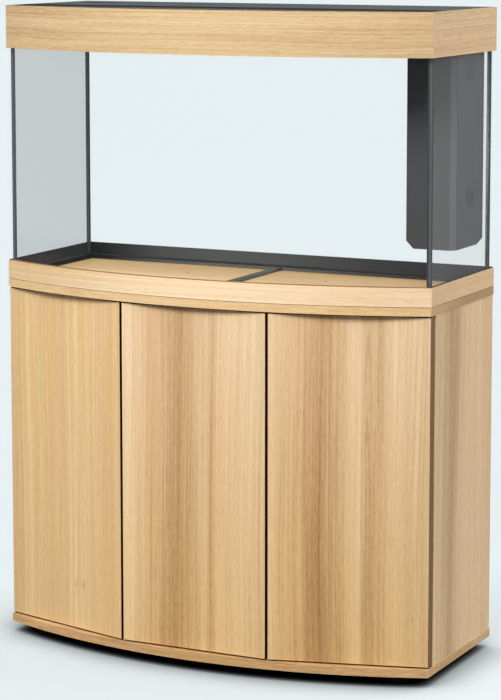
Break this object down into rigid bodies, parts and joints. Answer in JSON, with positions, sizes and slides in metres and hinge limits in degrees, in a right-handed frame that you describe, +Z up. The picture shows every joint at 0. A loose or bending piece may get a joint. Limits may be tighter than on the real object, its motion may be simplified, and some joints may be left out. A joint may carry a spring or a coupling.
{
  "type": "aquarium on stand",
  "caption": "Bow-front glass aquarium with a hinged hood, inner filter and light, on an oak-finish cabinet with three push-to-open doors.",
  "frame": {"origin": "middle of the footprint on the floor", "axes": "+X to the right seen from the front, +Y towards the back, +Z up"},
  "size_m": [0.92, 0.4199, 1.28],
  "materials": {
    "oak_board": "satin oak laminate with fine straight grain",
    "oak_trim": "satin oak foil, grain along the strip",
    "black_plastic": "satin moulded plastic",
    "filter_plastic": "satin moulded plastic",
    "steel": "zinc plated",
    "hardboard": "thin printed board",
    "glide_plastic": "matt moulded plastic",
    "bush_plastic": "slippery moulded plastic",
    "latch_plastic": "moulded plastic",
    "tank_glass": "polished float glass",
    "silicone": "cured silicone",
    "lamp_housing": "moulded plastic",
    "lamp_tube": "frosted tube",
    "socket_plastic": "moulded plastic",
    "sponge": "open foam",
    "impeller_plastic": "moulded plastic",
    "heater_glass": "glass tube with a plastic head"
  },
  "bodies": {
    "cabinet_and_tank": {"base_panel": "oak_board", "top_panel": "oak_board", "left_side_panel": "oak_board", "right_side_panel": "oak_board", "left_partition": "oak_board", "right_partition": "oak_board", "left_shelf": "oak_board", "right_shelf": "oak_board", "lower_trim_front": "oak_trim", "lower_trim_left": "oak_trim", "lower_trim_right": "oak_trim", "hood_trim_front": "oak_trim", "hood_trim_left": "oak_trim", "hood_trim_right": "oak_trim", "lower_frame": "black_plastic", "hood_frame": "black_plastic", "hood_front_rail": "black_plastic", "flap_rests": "black_plastic", "filter_housing": "filter_plastic", "media_basket": "filter_plastic", "pump_body": "filter_plastic", "panel_screws": "steel", "fixing_screws": "steel", "shelf_pins": "steel", "back_panel": "hardboard", "glides": "glide_plastic", "door_bushes": "bush_plastic", "latch_bodies": "latch_plastic", "bottom_glass": "tank_glass", "front_glass": "tank_glass", "back_glass": "tank_glass", "left_glass": "tank_glass", "right_glass": "tank_glass", "corner_silicone": "silicone", "floor_silicone": "silicone", "filter_pads": "silicone", "light_bar": "lamp_housing", "light_tubes": "lamp_tube", "tube_sockets": "socket_plastic", "filter_sponges": "sponge", "heater": "heater_glass"},
    "left_door": {"left_door": "oak_board", "left_door_pins": "steel", "left_strike_plate": "steel"},
    "middle_door": {"middle_door": "oak_board", "middle_door_pins": "steel", "middle_strike_plate": "steel"},
    "right_door": {"right_door": "oak_board", "right_door_pins": "steel", "right_strike_plate": "steel"},
    "left_plunger": {"left_latch_plunger": "latch_plastic"},
    "middle_plunger": {"middle_latch_plunger": "latch_plastic"},
    "right_plunger": {"right_latch_plunger": "latch_plastic"},
    "flap": {"front_flap": "black_plastic", "flap_rim": "black_plastic", "front_flap_pins": "steel"},
    "lid": {"rear_lid": "black_plastic", "rear_lid_pins": "steel"},
    "nozzle": {"outlet_nozzle": "filter_plastic"},
    "rotor": {"impeller": "impeller_plastic"}
  },
  "joints": [
    {"name": "left_door_hinge", "type": "hinge", "parent": "cabinet_and_tank", "child": "left_door", "pos_m": [-0.4524, -0.10525, 0.375], "axis": [0, 0, -1], "range_deg": [0, 105]},
    {"name": "middle_door_hinge", "type": "hinge", "parent": "cabinet_and_tank", "child": "middle_door", "pos_m": [-0.147, -0.18808, 0.375], "axis": [0, 0, -1], "range_deg": [0, 95]},
    {"name": "right_door_hinge", "type": "hinge", "parent": "cabinet_and_tank", "child": "right_door", "pos_m": [0.4524, -0.10525, 0.375], "axis": [0, 0, 1], "range_deg": [0, 105]},
    {"name": "left_latch_push", "type": "slide", "parent": "cabinet_and_tank", "child": "left_plunger", "axis": [0.2695, 0.963, 0], "range_m": [0, 0.003], "stiffness_N_per_m": 400},
    {"name": "middle_latch_push", "type": "slide", "parent": "cabinet_and_tank", "child": "middle_plunger", "axis": [0, 1, 0], "range_m": [0, 0.003], "stiffness_N_per_m": 400},
    {"name": "right_latch_push", "type": "slide", "parent": "cabinet_and_tank", "child": "right_plunger", "axis": [-0.2695, 0.963, 0], "range_m": [0, 0.003], "stiffness_N_per_m": 400},
    {"name": "flap_hinge", "type": "hinge", "parent": "cabinet_and_tank", "child": "flap", "pos_m": [0, -0.0335, 1.2745], "axis": [-1, 0, 0], "range_deg": [0, 95]},
    {"name": "lid_hinge", "type": "hinge", "parent": "cabinet_and_tank", "child": "lid", "pos_m": [0, 0.2047, 1.2775], "axis": [-1, 0, 0], "range_deg": [0, 95]},
    {"name": "nozzle_swivel", "type": "hinge", "parent": "cabinet_and_tank", "child": "nozzle", "pos_m": [0.345, 0.14488, 1.2], "axis": [1, 0, 0], "range_deg": [-60, 60]},
    {"name": "impeller_spin", "type": "hinge", "parent": "cabinet_and_tank", "child": "rotor", "pos_m": [0.395, 0.14488, 1.089], "axis": [0, 0, 1], "continuous": true}
  ]
}
